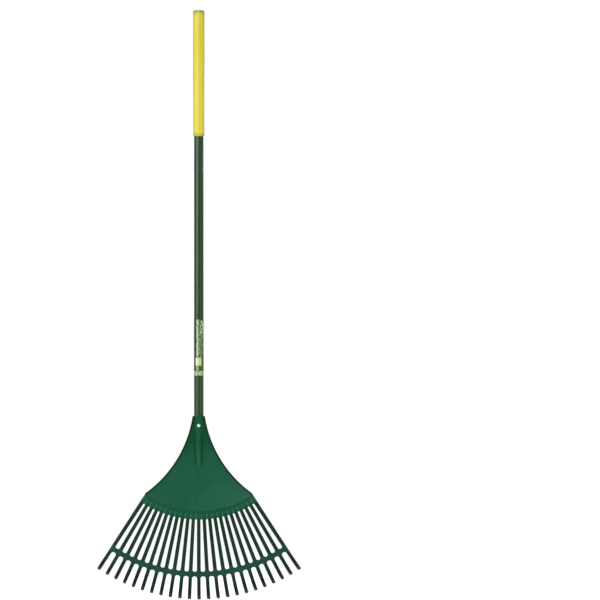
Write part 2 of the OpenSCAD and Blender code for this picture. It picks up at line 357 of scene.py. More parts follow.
def tone_parts(n):
    """How much a point is darkened and lightened by its mesh's tone."""
    tone = n.new("ShaderNodeAttribute", attribute_name="tone").outputs["Fac"]
    return n.ranged(tone, 0.0, 1.0, 0.0, 1.0), n.ranged(tone, 0.0, -1.0, 0.0, 1.0)


# Distances from the socket's mouth, in metres, over which the head's colour and painted shade
# change
NECK_FADE, FAR_FADE, TIP_FADE = (0.05, 0.15), (0.299, 0.318), (0.49, 0.54)
BAND_FADE_IN, BAND_FADE_OUT = (0.463, 0.47), (0.486, 0.493)


def moulded(name, main, dark, painted_shade, neck, far, band, tip, wear_and_light):
    """Moulded plastic with painted shade that makes it darker down the tines, with flow marks, a
    fine grain and rubbed edges, and painted shade and painted light from its mesh's tone."""
    n = Nodes(name)
    radial = n.distance((0.0, 0.0, MOUTH_Z))
    cloud = n.noise(9.0, 3.0, 0.55)
    flow = n.noise(26.0, 4.0, 0.6, n.stretched(1.0, 1.0, 0.22), 0.4)
    darker, lighter = tone_parts(n)
    base = n.mix(n.ranged(cloud, 0.35, 0.65, 0.0, 1.0), main, dark)
    base = n.mix(n.ranged(radial, *NECK_FADE, 0.8, 0.0), base, neck)
    # Painted shade: the tines darker than the blade, darker still at the tips, and less dark over
    # the flat cross band
    base = n.mix(n.ranged(radial, *FAR_FADE, 0.0, 1.0), base, far)
    base = n.mix(n.ranged(radial, *TIP_FADE, 0.0, 1.0), base, tip)
    past_inner = n.ranged(radial, *BAND_FADE_IN, 0.0, 1.0)
    on_band = n.times(past_inner, n.ranged(radial, *BAND_FADE_OUT, 1.0, 0.0))
    base = n.mix(on_band, base, band)
    base = n.mix(n.ranged(flow, 0.52, 0.8, 0.0, 0.12), base, wear_and_light)
    # Painted shade from the mesh's positive tone
    base = n.mix(darker, base, painted_shade)
    # Painted light from the mesh's negative tone, in the worn colour
    base = n.mix(lighter, base, wear_and_light)
    rubbed = n.times(n.edges(0.53, 0.62), n.ranged(n.noise(160.0, 3.0), 0.46, 0.66, 0.0, 0.4))
    n.link(n.mix(rubbed, base, wear_and_light), "Base Color")
    n.link(n.ranged(flow, 0.3, 0.75, 0.42, 0.58), "Roughness")
    n.bsdf.inputs["Specular IOR Level"].default_value = 0.1
    grain = n.noise(1500.0, 2.0, 0.6)
    sink = n.noise(38.0, 2.0, 0.4)
    scuff = n.noise(240.0, 4.0, 0.7, n.stretched(1.0, 1.0, 0.12))
    n.bump([(sink, 0.25, 0.0006), (scuff, 0.12, 0.00025), (grain, 0.25, 0.00008)])
    return n.mat


def fibreglass(name, main, light, cloudy, shade):
    """A pulled fibreglass tube under a clear coat: long streaks, glossy, and with a painted shadow
    just below the grip."""
    n = Nodes(name)
    streak = n.noise(420.0, 3.0, 0.6, n.stretched(1.0, 1.0, 0.012))
    cloud = n.noise(14.0, 3.0, 0.5, n.stretched(1.0, 1.0, 0.3))
    base = n.mix(n.ranged(streak, 0.35, 0.7, 0.0, 0.5), main, light)
    base = n.mix(n.ranged(cloud, 0.35, 0.7, 0.0, 0.25), base, cloudy)
    height = n.new("ShaderNodeSeparateXYZ", {"Vector": n.coords}).outputs["Z"]
    grip_edge = MOUTH_Z + GRIP_BOTTOM / 1000
    # A painted shadow on the tube just below the grip
    base = n.mix(n.ranged(height, grip_edge - 0.014, grip_edge - 0.009, 0.0, 0.9), base, shade)
    n.link(base, "Base Color")
    n.link(n.ranged(cloud, 0.3, 0.7, 0.24, 0.32), "Roughness")
    n.bsdf.inputs["Specular IOR Level"].default_value = 0.9
    n.bsdf.inputs["Specular Tint"].default_value = (0.75, 1.0, 0.8, 1.0)
    n.bsdf.inputs["Coat Weight"].default_value = 0.65
    n.bsdf.inputs["Coat Roughness"].default_value = 0.24
    fine = n.noise(900.0, 2.0, 0.5, n.stretched(1.0, 1.0, 0.02))
    n.bump([(streak, 0.12, 0.00015), (fine, 0.1, 0.00006)])
    return n.mat


def soft_grip(name):
    """Soft yellow vinyl: slightly uneven colour, a fine pebbled skin and handling marks."""
    n = Nodes(name)
    cloud = n.noise(16.0, 4.0, 0.6, n.stretched(1.0, 1.0, 0.4))
    speck = n.noise(330.0, 3.0, 0.6)
    main, dull = srgb(239, 229, 85), srgb(230, 218, 70)
    base = n.mix(n.ranged(cloud, 0.35, 0.68, 0.0, 1.0), main, dull)
    base = n.mix(n.ranged(speck, 0.6, 0.78, 0.0, 0.3), base, srgb(206, 192, 62))
    parting, darker_ends = tone_parts(n)
    # The seam's own dark line, with painted shade fading to one side of it
    base = n.mix(parting, base, srgb(214, 194, 10))
    # Painted shade on the grip's rounded top, and darker towards its lower edge
    base = n.mix(darker_ends, base, srgb(164, 178, 76))
    rubbed = n.times(n.edges(0.54, 0.62), n.ranged(n.noise(120.0, 3.0), 0.45, 0.65, 0.0, 0.4))
    n.link(n.mix(rubbed, base, srgb(206, 190, 92)), "Base Color")
    n.link(n.ranged(cloud, 0.3, 0.7, 0.36, 0.46), "Roughness")
    n.bsdf.inputs["Specular IOR Level"].default_value = 0.5
    n.bsdf.inputs["Subsurface Weight"].default_value = 0.08
    n.bsdf.inputs["Subsurface Radius"].default_value = (0.004, 0.003, 0.001)
    n.bsdf.inputs["Subsurface Scale"].default_value = 1.0
    pebble = n.new("ShaderNodeTexVoronoi", {"Vector": n.coords, "Scale": 750.0}).outputs["Distance"]
    n.bump([(cloud, 0.2, 0.0005), (pebble, 0.18, 0.00012), (speck, 0.1, 0.0001)])
    return n.mat


def zinc(name):
    """Bright plated steel with turned rings and small scratches."""
    n = Nodes(name)
    ring = n.distance((0.0, 0.0, MOUTH_Z - SCREW_DOWN / 1000))
    turned = n.noise(2600.0, 2.0, 0.5, n.joined(x=ring))
    spots = n.noise(900.0, 3.0, 0.6)
    bright, dull = srgb(244, 247, 244), srgb(214, 220, 212)
    n.link(n.mix(n.ranged(spots, 0.4, 0.7, 0.0, 0.5), bright, dull), "Base Color")
    n.link(n.ranged(turned, 0.3, 0.7, 0.46, 0.58), "Roughness")
    n.bsdf.inputs["Metallic"].default_value = 1.0
    n.bump([(turned, 0.1, 0.00004), (spots, 0.1, 0.00004)])
    return n.mat


def wood(name):
    """Plain turned softwood: rings and pores."""
    n = Nodes(name)
    rings = n.new(
        "ShaderNodeTexWave",
        {"Vector": n.stretched(1.0, 1.0, 0.06), "Scale": 150.0, "Distortion": 4.0, "Detail": 3.0},
        wave_type="RINGS",
    ).outputs["Fac"]
    pores = n.noise(1400.0, 3.0, 0.6, n.stretched(1.0, 1.0, 0.05))
    base = n.mix(rings, srgb(206, 172, 126), srgb(172, 132, 88))
    n.link(n.mix(n.ranged(pores, 0.55, 0.75, 0.0, 0.5), base, srgb(120, 86, 54)), "Base Color")
    n.link(n.ranged(rings, 0.0, 1.0, 0.62, 0.78), "Roughness")
    n.bump([(pores, 0.3, 0.0002)])
    return n.mat


def black_plastic(name):
    """Plain black moulding, slightly cloudy."""
    n = Nodes(name)
    cloud = n.noise(60.0, 3.0)
    dark, pale = srgb(28, 28, 29), srgb(44, 44, 45)
    n.link(n.mix(n.ranged(cloud, 0.4, 0.65, 0.0, 1.0), dark, pale), "Base Color")
    n.link(n.ranged(cloud, 0.3, 0.7, 0.42, 0.6), "Roughness")
    n.bump([(n.noise(900.0, 2.0), 0.2, 0.0001)])
    return n.mat


def printed_film(name, green, lime, olive, mint, cream, gleam):
    """A printed film with no lettering: two wavy pale stripes, a mottled panel with pale blocks, a
    plain cream patch and a pale band. Heights run from 0 at the film's lower edge to 1 at its
    upper edge, and turn is the angle from the front in radians."""
    n = Nodes(name)
    x, y, z = n.new("ShaderNodeSeparateXYZ", {"Vector": n.coords}).outputs
    height = n.ranged(z, LABEL_LOW, LABEL_HIGH, 0.0, 1.0)
    turn = n.math("ARCTAN2", x, n.times(y, -1.0))
    wave = n.noise(1.0, 2.0, 0.6, n.joined(y=n.times(height, 9.0)))
    wavy_turn = n.math("ADD", turn, n.ranged(wave, 0.3, 0.7, -0.09, 0.09))

    def within(value, low, high, soft):
        rise = n.ranged(value, low - soft, low + soft, 0.0, 1.0)
        return n.times(rise, n.ranged(value, high - soft, high + soft, 1.0, 0.0))

    def area(angle, across, up):
        """1 in an area given as (low, high, softness) across and up, and 0 outside it."""
        return n.times(within(angle, *across), within(height, *up))

    def blocks(across, up, low, high, seed):
        """Soft-edged random patches of a grid, low to high in its random values."""
        values = {"Vector": n.joined(turn, height, seed), "Scale": (across, up, 1.0)}
        cells = n.new("ShaderNodeMapping", values).outputs["Vector"]
        return n.ranged(n.noise(1.0, 2.0, 0.5, cells), low, high, 0.0, 1.0)

    stripe = area(wavy_turn, (-0.5, -0.1, 0.05), (0.34, 0.99, 0.004))
    short_stripe = area(wavy_turn, (-0.8, -0.5, 0.05), (0.8, 0.99, 0.01))
    foot = area(wavy_turn, (-0.55, -0.05, 0.1), (0.09, 0.2, 0.012))
    panel = area(turn, (-0.12, 1.3, 0.04), (0.02, 0.99, 0.004))
    surround = area(turn, (-0.9, 0.95, 0.1), (0.1, 0.4, 0.015))
    upper = area(turn, (0.25, 1.15, 0.06), (0.74, 0.97, 0.01))
    lower = area(turn, (-0.05, 1.2, 0.06), (0.34, 0.74, 0.01))
    patch = area(turn, (-0.74, 0.62, 0.07), (0.19, 0.33, 0.007))
    glare = area(turn, (-0.62, -0.12, 0.08), (0.2, 0.315, 0.012))
    band = within(height, 0.019, 0.095, 0.005)
    mottle = n.mix(blocks(3.0, 26.0, 0.38, 0.62, 40.0), olive, lime)
    colour = green
    for part, amount, ink in (
        (panel, 0.8, mottle),
        (surround, 0.75, olive),
        (n.times(lower, blocks(2.6, 24.0, 0.5, 0.6, 14.0)), 0.5, mint),
        (n.times(short_stripe, blocks(0.3, 30.0, 0.5, 0.58, 1.0)), 0.5, mint),
        (n.times(stripe, blocks(0.3, 40.0, 0.34, 0.44, 5.0)), 0.85, mint),
        (n.times(upper, blocks(2.2, 16.0, 0.46, 0.54, 9.0)), 0.8, mint),
        (foot, 0.5, mint),
        (n.times(band, blocks(1.6, 14.0, 0.34, 0.52, 30.0)), 0.75, mint),
        (patch, 0.8, cream),
        (glare, 0.6, gleam),
    ):
        colour = n.mix(n.times(part, amount), colour, ink)
    worn = n.ranged(n.noise(260.0, 4.0, 0.7), 0.58, 0.72, 0.0, 0.35)
    n.link(n.mix(worn, colour, green), "Base Color")
    n.link(n.ranged(worn, 0.0, 0.35, 0.28, 0.45), "Roughness")
    n.bsdf.inputs["Specular IOR Level"].default_value = 0.4
    n.bump([(n.noise(120.0, 3.0, 0.5, n.stretched(1.0, 1.0, 0.3)), 0.1, 0.0002)])
    return n.mat


head_plastic = moulded(
    "head_plastic",
    main=srgb(23, 87, 61),
    dark=srgb(15, 83, 56),
    painted_shade=srgb(0, 43, 22),
    neck=srgb(5, 84, 48),
    # The far, band and tip colours paint shade onto the tines
    far=srgb(14, 47, 35),
    band=srgb(24, 66, 52),
    tip=srgb(6, 20, 15),
    wear_and_light=srgb(66, 118, 94),
)
tube_finish = fibreglass(
    "tube_fibreglass",
    main=srgb(8, 56, 10),
    light=srgb(26, 74, 24),
    cloudy=srgb(18, 48, 22),
    shade=srgb(52, 50, 6),
)
grip_vinyl = soft_grip("grip_vinyl")
screw_zinc = zinc("screw_zinc")
core_wood = wood("core_wood")
plug_black = black_plastic("plug_black")
film = printed_film(
    "label_film",
    green=srgb(40, 72, 46),
    lime=srgb(106, 146, 88),
    olive=srgb(66, 88, 36),
    mint=srgb(196, 220, 180),
    cream=srgb(214, 222, 156),
    gleam=srgb(252, 253, 214),
)

# ---------------------------------------------------------------- the fan


def inside_by(x, z):
    """How far a point of the fan's face lies inside the fan's outline."""
    x = abs(x)
    flank = math.hypot(x - FLANK_X, z - FLANK_Z) - FLANK_R
    along = x * math.sin(FAN_ANGLE) - z * math.cos(FAN_ANGLE)
    if along < 150:
        return flank
    return min(flank, EDGE_OFF - (x * math.cos(FAN_ANGLE) + z * math.sin(FAN_ANGLE)))


def row_z(h, x):
    """The height of a row's curve at x: level at the mouth and an arc round it further down."""
    if h <= 0:
        return 0.0
    fall = h - math.sqrt(max(h * h - x * x, 0.0))
    return -(h - smooth(h / 120) * fall)


def row_half(h):
    """Where a row meets the fan's outline."""
    low, high = 5.0, min(200.0, max(h, 40.0) * 0.98 if h > 119 else 60.0)
    for _ in range(50):
        mid = (low + high) / 2
        if inside_by(mid, row_z(h, mid)) > 0:
            low = mid
        else:
            high = mid
    return low


def socket_r(z):
    """The socket's radius, a little smaller further down."""
    return lerp(SOCKET_MOUTH_R, SOCKET_END_R, clamp(-z / SOCKET_LENGTH))


def bead(x, z):
    """Half the fan's thickness near its flank, where a round bead stiffens it."""
    d = inside_by(x, z)
    fade = 1 - smooth((math.hypot(x, z) - CORNER_R + 3) / 9)
    plate = BLADE_HALF * round_edge(d / BLADE_HALF)
    round_bar = math.sqrt(max(BEAD_R**2 - (d - BEAD_R) ** 2, 0.0)) if d < 2 * BEAD_R else 0.0
    return smooth_max(plate, round_bar, clamp(d / 2)) * fade + plate * (1 - fade)


def beside_socket(x, z, depth):
    """How far a point lies outside the socket, where the socket is cut at a depth from its axis."""
    r = socket_r(z) if z > -SOCKET_LENGTH else SOCKET_END_R - 0.2
    return math.hypot(x, max(-z - SOCKET_LENGTH, 0.0)) - math.sqrt(r * r - depth * depth)


def fan_painted_shading(x, z):
    """Painted shade along the rim, in the corners beside the socket, on the flanks beside the mouth
    and at the groove; a painted highlight on the ridge and painted light low on the blade."""
    down = -z
    # Painted shade along the rim's bead
    rim = 0.95 * (1 - smooth((inside_by(x, z) - 4.2) / 2.8))
    # Painted shade in the corners beside the socket, on both sides
    in_corner = 1 - smooth((beside_socket(x, z, -FACE_Y) - 0.2) / 2.6)
    right, left = smooth((x / 12 - 0.3) / 0.35), smooth((-x / 12 - 0.62) / 0.2)
    side = (0.55 * right + 0.7 * left) * in_corner * smooth((down - 10) / 70)
    # Painted shade on the flanks beside the mouth
    past_neck = 1 - smooth((down - 50) / 90)
    flank = lerp(0.8, 0.5, smooth(down / 30)) * past_neck * clamp((abs(x) - 9) / 5)
    # Painted shade in the groove
    groove = 0.34 * smooth((math.hypot(x, z) - GROOVE_R + 3) / 2.5)
    everywhere = 0.06
    dark = max(rim, side, flank, groove, everywhere)
    # A painted highlight down the ridge's crown, and painted light towards the lower right of the
    # blade
    on_ridge = (1 - smooth((abs(x) - 2.0) / 3.5)) * (1 - smooth((down - SOCKET_LENGTH - 6) / 8))
    painted_light = 0.16 * on_ridge * smooth((down - 95) / 25)
    painted_light += 0.16 * clamp((x + 60) / 150) * smooth((down - 150) / 110)
    return -painted_light if painted_light > dark else dark - painted_light


def front_y(x, z):
    """The depth of the fan's face: the blade, its bead, the ridge over the socket and the screw's
    pad."""
    half = bead(x, z)
    plate = half - BLADE_MID_Y
    r = socket_r(z) if z > -SOCKET_LENGTH else SOCKET_END_R
    fall = max(-z - SOCKET_LENGTH, 0.0)
    square = r * r - x * x - fall * fall
    ridge = math.sqrt(square) if square > 0 else 0.0
    y = smooth_max(plate, ridge, 3.0 if half > 1.2 else 0.8)
    rho = math.hypot(x, z + SCREW_DOWN)
    if rho < PAD_R + 2:
        pad = PAD_FRONT - 3.5 * clamp((rho - PAD_R + 0.5) / 1.6) ** 2
        y = smooth_max(y, pad, 0.5) if rho < PAD_R + 1 else y
    return -y


def back_y(x, z):
    """The depth of the fan's back, with a fillet beside the socket and a cut along its bore."""
    y = BLADE_MID_Y + bead(x, z)
    beside = beside_socket(x, z, -BACK_Y)
    fillet = 2.2
    if beside < fillet:
        y = max(y, BACK_Y + fillet - math.sqrt(fillet**2 - (fillet - max(beside, 0.0)) ** 2))
    if z > -BORE_DEPTH and abs(x) < BORE_R:
        return min(y, -math.sqrt(BORE_R**2 - x * x))
    return y


def centre_out(h):
    """The x values of a row from the middle to the outline, close together on the socket and on
    the bead."""
    half = row_half(h)
    normal_x = (FLANK_X - half) / FLANK_R
    inner = min(27.0, 0.8 * half)
    edge = max(half - 7.5 / normal_x, lerp(inner, half, 0.45))
    xs = [inner * i / 34 for i in range(34)]
    xs += [lerp(inner, edge, i / 14) for i in range(14)]
    xs += [lerp(edge, half, math.sin(math.pi / 2 * i / 14)) for i in range(15)]
    return xs


def fan_rows():
    """How far down the fan's rows lie, close together at the mouth and at the groove."""
    hs = [0.0, 0.12, 0.4, 0.7, 1.0] + [2.0 + i for i in range(58)]
    hs += [60.0 + 1.5 * i for i in range(71)]
    hs += [168.0 + 6.0 * i for i in range(18)]
    return hs + [GROOVE_R - 15 + 1.5 * i for i in range(10)] + [GROOVE_R - 0.8, GROOVE_R]


def fan():
    """The blade, one closed skin between a grid on its face and a grid on its back."""
    mouth_r, foot_r = 0.7, 0.8
    front, back, tones = [], [], []
    for h in fan_rows():
        right = centre_out(h)
        xs = [-x for x in reversed(right[1:])] + right
        last = GROOVE_R - h
        mouth_edge = mouth_r * (1 - round_edge(h / mouth_r))
        row_f, row_b, row_t = [], [], []
        for x in xs:
            z = row_z(h, x)
            y0, y1 = front_y(x, z), back_y(x, z)
            y0, y1 = y0 + mouth_edge, y1 - 0.5 * mouth_edge
            if last < foot_r:
                y0 = min(y0 + foot_r * (1 - round_edge(last / foot_r)), y1 - 0.5)
            row_f.append(place(x, y0, z))
            row_b.append(place(x, y1, z))
            row_t.append(fan_painted_shading(x, z))
        front.append(row_f)
        back.append(row_b)
        tones.append(row_t)
    points, faces = sheet_solid(front, back)
    levels = [t for row in tones for t in row]
    obj = piece("fan_blade", points, faces, head_plastic, 40, tones=levels + levels)
    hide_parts("rake_head")


def socket():
    """The socket's round wall, with its rounded mouth and closed end, the bore and its floor."""
    lip = 0.7
    end_r, end_drop = SOCKET_END_R - 0.2, SOCKET_END_R - 0.3
    profile = [(0.0, -SOCKET_LENGTH - end_drop)]
    for i in range(1, 15):
        a = math.pi / 2 * i / 14
        profile.append((end_r * math.sin(a), -SOCKET_LENGTH - end_drop * math.cos(a)))
    profile += [(socket_r(z) - 0.2 * clamp(-z / 4), z) for z in range(-136, -3, 6)]
    profile += [(SOCKET_MOUTH_R, -lip - 0.6)]
    profile += arc(SOCKET_MOUTH_R - lip, -lip, lip, 0, 90, 5)
    profile += arc(BORE_R + lip, -lip, lip, 90, 180, 4)
    profile += [(BORE_R, -20.0), (BORE_R, -BORE_DEPTH), (0.0, -BORE_DEPTH)]

    def under_the_ridge(r, z, angle):
        """In front, the fan's own surface is the outside, so this one stays just inside it."""
        front = smooth((-math.sin(angle) - 0.35) / 0.3)
        low = z - 0.5 * front * clamp((z + 3) / 2)
        if r < BORE_R + 0.1:
            return r, low
        return r - 0.45 * front * clamp((r - BORE_R) / 2), low

    points, faces = revolve(profile, 96, under_the_ridge)
    piece("socket", points, faces, head_plastic, 50)


# The back ribs start inside the blade
RIB_FOOT_Y = -10.0


def back_rib(index, angle):
    """A thin stiffening wall on the blade's back, high beside the socket and low at the tines."""
    loops = []
    s, c = math.sin(angle), math.cos(angle)
    start, end = 15.0, RIB_TOP_R + 1
    for k in range(41):
        r = lerp(start, end, k / 40)
        rise = lerp(7.0, 1.0, clamp((r - 40) / (end - 40)))
        nose = smooth((r - start) / 8) * smooth((end - r) / 5 + 0.05)
        top = BACK_Y - 0.4 + (rise + 0.4) * nose
        loop = []
        for u, v in rib_section(1.3, 0.95, top, RIB_FOOT_Y):
            loop.append(place(u * c + r * s, v, u * s - r * c))
        loops.append(loop)
    points, faces = loft(loops)
    piece(f"back_rib_{index}", points, faces, head_plastic, 50)


def rib_section(foot, crown, top, low):
    """Half round on top, with a flared foot."""
    height = top - low
    half = [
        (foot + 0.9, low),
        (foot + 0.45, low + min(1.15, height * 0.5)),
        (foot, low + min(1.9, height * 0.8)),
    ]
    r = min(crown, height * 0.4)
    half += arc(lerp(foot, crown, clamp(height / 7)) - r, top - r, r, 0, 90, 5)[:-1]
    return half + [(0.0, top)] + [(-u, v) for u, v in reversed(half)]


# Where the apron's mesh crosses a slot's round top, in parts of half its width, and its rows from
# the groove to the slots
ACROSS_SLOT = (-1, -0.94, -0.8, -0.55, -0.28, 0, 0.28, 0.55, 0.8, 0.94, 1)
DOWN_APRON = (0.0, 0.15, 0.3, 0.45, 0.6, 0.8, 0.92, 0.965, 0.985, 0.996, 1.0)

# The apron runs on past the middle of each outer tine by this angle, in radians
PAST_OUTER_TINE = 0.006
APRON_MID_Y = -10.05


def apron():
    """The thinner strip between the fan's groove and the slots, with the slots' round tops."""
    angles = [-FAN_ANGLE - PAST_OUTER_TINE]
    for k in range(TINE_COUNT - 1):
        centre = (k - HALF_COUNT + 0.5) * PITCH
        angles.append(centre - PITCH / 2)
        angles += [centre + u * SLOT_TOP_END / SLOT_TOP_R for u in ACROSS_SLOT]
    angles += [FAN_ANGLE, FAN_ANGLE + PAST_OUTER_TINE]
    front, back, tones = [], [], []
    for t in DOWN_APRON:
        row_f, row_b, row_t = [], [], []
        for a in angles:
            k = min(max(round(a / PITCH + HALF_COUNT - 0.5), 0), TINE_COUNT - 2)
            u = abs(a - (k - HALF_COUNT + 0.5) * PITCH) * SLOT_TOP_R
            cut = math.sqrt(max(SLOT_TOP_END**2 - u * u, 0.0))
            end = SLOT_TOP_R + SLOT_TOP_END - cut
            r = lerp(GROOVE_R - 3, end, t)
            left = end - r
            rise = smooth((r - GROOVE_R + 3) / 5)
            thick = lerp(1.0, 0.97, rise) * lerp(0.35, 1, round_edge(left / 0.9))
            row_f.append(place(r * math.sin(a), APRON_MID_Y - thick, -r * math.cos(a)))
            row_b.append(place(r * math.sin(a), APRON_MID_Y + thick, -r * math.cos(a)))
            # Painted shade on the apron by the groove, and painted light on it by the slots' tops
            row_t.append(lerp(0.25, -0.3, smooth((r - RIB_TOP_R + 1) / 4)))
        front.append(row_f)
        back.append(row_b)
        tones.append(row_t)
    points, faces = sheet_solid(front, back)
    levels = [t for row in tones for t in row]
    piece("slot_apron", points, faces, head_plastic, 50, tones=levels + levels)


# ---------------------------------------------------------------- the tines

# The halves of the cross band's bridges meet in a lap: a tongue behind the next tine's front half
SEAM, LAP, LAP_GAP = 0.22, 1.2, 0.06

# A tine's section has a crowned core and a thinner margin with a round edge
MARGIN_W, MARGIN_SHARE, EDGE_R, CROWN_POWER = 1.3, 0.64, 1.15, 2.3
ACROSS_CORE = [0.0, 0.22, 0.42, 0.6, 0.76, 0.89, 1.0]
ACROSS_MARGIN = [0.12, 0.3, 0.52, 0.72, 0.87, 0.96, 1.0]


def path():
    """Stations down a tine, as (distance from the mouth, depth, backward lean, path left)."""
    out = []
    for down in (0.2, 0.6, 1.4, 3.0, 7.0, 12.0, 17.0, 20.0):
        out.append((RIB_TOP_R + down, TINE_MID_Y, 0.0))
    marks = [HINGE_R + 6.5 * i for i in range(23)]
    marks = [m for m in marks if m < SLOT_LOW_R - 1]
    for i in range(9):
        marks.append(SLOT_LOW_R + SLOT_LOW_END * math.sin(math.pi / 2 * i / 8) - 1e-3)
    marks += [BAND_IN_R + 0.02, BAND_IN_R + 1.0, BAND_MID_R, BAND_OUT_R - 1.0, BAND_OUT_R - 0.02]
    for i in range(10):
        marks.append(GAP_R - GAP_END * math.cos(math.pi / 2 * i / 9) + 1e-3)
    bow_end = HOOK_CENTRE_R + HOOK_R * math.sin(BOW_ANGLE)
    marks += [bow_end - 14, bow_end - 7]
    for m in marks:
        a = math.asin((m - HINGE_R) / BOW_R)
        out.append((m, TINE_MID_Y + BOW_R * (1 - math.cos(a)), a))
    for i in range(17):
        a = lerp(BOW_ANGLE, HOOK_ANGLE, i / 16)
        r = HOOK_CENTRE_R + HOOK_R * math.sin(a)
        out.append((r, TINE_MID_Y + HOOK_CENTRE_Y - HOOK_R * math.cos(a), a))
    r0, y0, a = out[-1]
    for s in (3.0, 6.6, 7.6, 8.8, 9.8, 10.7, 11.3, 11.75, 11.95):
        out.append((r0 + s * math.cos(a), y0 + s * math.sin(a), a))
    lengths = [0.0]
    for (r, y, _), (next_r, next_y, _) in zip(out, out[1:]):
        lengths.append(lengths[-1] + math.hypot(next_r - r, next_y - y))
    total = lengths[-1] + 0.05
    return [(r, y, a, total - s) for (r, y, a), s in zip(out, lengths)]


def free_half(r):
    """Half the width of a tine away from the cross band."""
    if r < SLOT_LOW_R:
        return top_half(r)
    return lerp(BAND_W, LOW_W, clamp((r - SLOT_LOW_R) / (GAP_R - SLOT_LOW_R))) / 2


def side_half(r, joined):
    """Half the width on one side, out to the middle of the bridge where one joins the next tine."""
    if not joined:
        top = HINGE_R - TINE_T
        return free_half(r) + OUTER_EXTRA * (1 - clamp((r - top) / (SLOT_LOW_R - top)))
    if r <= SLOT_LOW_R or r >= GAP_R:
        return free_half(r)
    mid = r * HALF_TAN - SEAM
    if r < BAND_IN_R:
        opening = math.sqrt(max(SLOT_LOW_END**2 - (r - SLOT_LOW_R) ** 2, 0.0))
    elif r > BAND_OUT_R:
        opening = math.sqrt(max(GAP_END**2 - (GAP_R - r) ** 2, 0.0))
    else:
        return mid
    return min(mid, max(free_half(r), mid - opening))


def half_section(half, free, thick, in_band):
    """One side's (offset, height) from the middle out."""
    core = max(min(free, half) - MARGIN_W, half * 0.55)
    margin = MARGIN_SHARE * thick
    round_r = min(EDGE_R, half * 0.5)
    out = []
    for x in [core * f for f in ACROSS_CORE] + [lerp(core, half, f) for f in ACROSS_MARGIN]:
        crown = thick * (1 - clamp(x / (free + 0.35)) ** CROWN_POWER) ** (1 / CROWN_POWER)
        edge = 1.0 if in_band else round_edge((half - x) / round_r)
        height = margin * edge
        if edge > 0.02:
            height = smooth_max(crown, height, 0.5 * edge)
        out.append((x, height))
    return out


def side_points(half, free, thick, joined, r, tongue):
    """One side of a section, from the middle of its front round its edge to the middle of its
    back."""
    lapped = joined and BAND_IN_R <= r <= BAND_OUT_R
    reach = clamp(min(r - BAND_IN_R, BAND_OUT_R - r)) if lapped else 0.0
    back_half = half + reach * (LAP + SEAM if tongue else -LAP - SEAM)
    front = half_section(half, free, thick, lapped)
    back = half_section(back_half, free, thick, lapped)
    step = (LAP_GAP if tongue else -LAP_GAP) if lapped else 0.0
    points = [(u, -v) for u, v in front] + [(half, step), (back_half, step)]
    return points + [(u, v) for u, v in reversed(back)]


def tine(i):
    """One tine, from under the fan's ribs through its half of the band to its hooked tip."""
    angle = (i - HALF_COUNT) * PITCH
    s, c = math.sin(angle), math.cos(angle)
    joined = (i < TINE_COUNT - 1, i > 0)
    # The outer tines start higher than the others, just below the fan's corner
    rise = 0.0 if all(joined) else RIB_TOP_R - CORNER_R - 1
    loops = []
    for r, y, lean, left in path():
        r_here = r - rise * clamp((RIB_TOP_R + 3 - r) / 2.8)
        free = free_half(r)
        sides = [side_half(r, j) for j in joined]
        taper = lerp(1.0, 0.9, smooth((r - 500) / 50))
        thick = TINE_T / 2 * taper * lerp(1.0, 0.93, smooth(1 - abs(r - BAND_MID_R) / 26))
        nose = round_edge((r - RIB_TOP_R) / 1.6)
        thick *= lerp(0.55, 1.0, nose)
        sides = [v * lerp(0.85, 1.0, nose) for v in sides]
        round_end = LOW_W / 2
        if left < round_end:
            cut = math.sqrt(max(round_end**2 - (round_end - left) ** 2, 0.0))
            sides = [min(v, cut) for v in sides]
            free = min(free, cut)
            thick *= lerp(0.35, 1.0, math.sqrt(clamp(left / 2.2)))
        right = side_points(sides[0], free, thick, joined[0], r, True)
        other = side_points(sides[1], free, thick, joined[1], r, False)
        section = right[:-1] + [(-u, v) for u, v in reversed(other)][:-1]
        loop = []
        for u, v in section:
            rr, yy = r_here - v * math.sin(lean), y + v * math.cos(lean)
            loop.append(place(u * c + rr * s, yy, u * s - rr * c))
        loops.append(loop)
    points, faces = loft(loops)
    name = f"tine_{i + 1:02d}"
    obj = piece(name + "_strip", points, faces, head_plastic, 38, body=None)
    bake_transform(obj)
    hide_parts(name)


fan()
socket()
apron()
for k, degrees in enumerate(BACK_RIB_DEGREES):
    back_rib(k + 1, math.radians(degrees))
for k in range(TINE_COUNT):
    tine(k)

# ---------------------------------------------------------------- handle, grip, screw and label


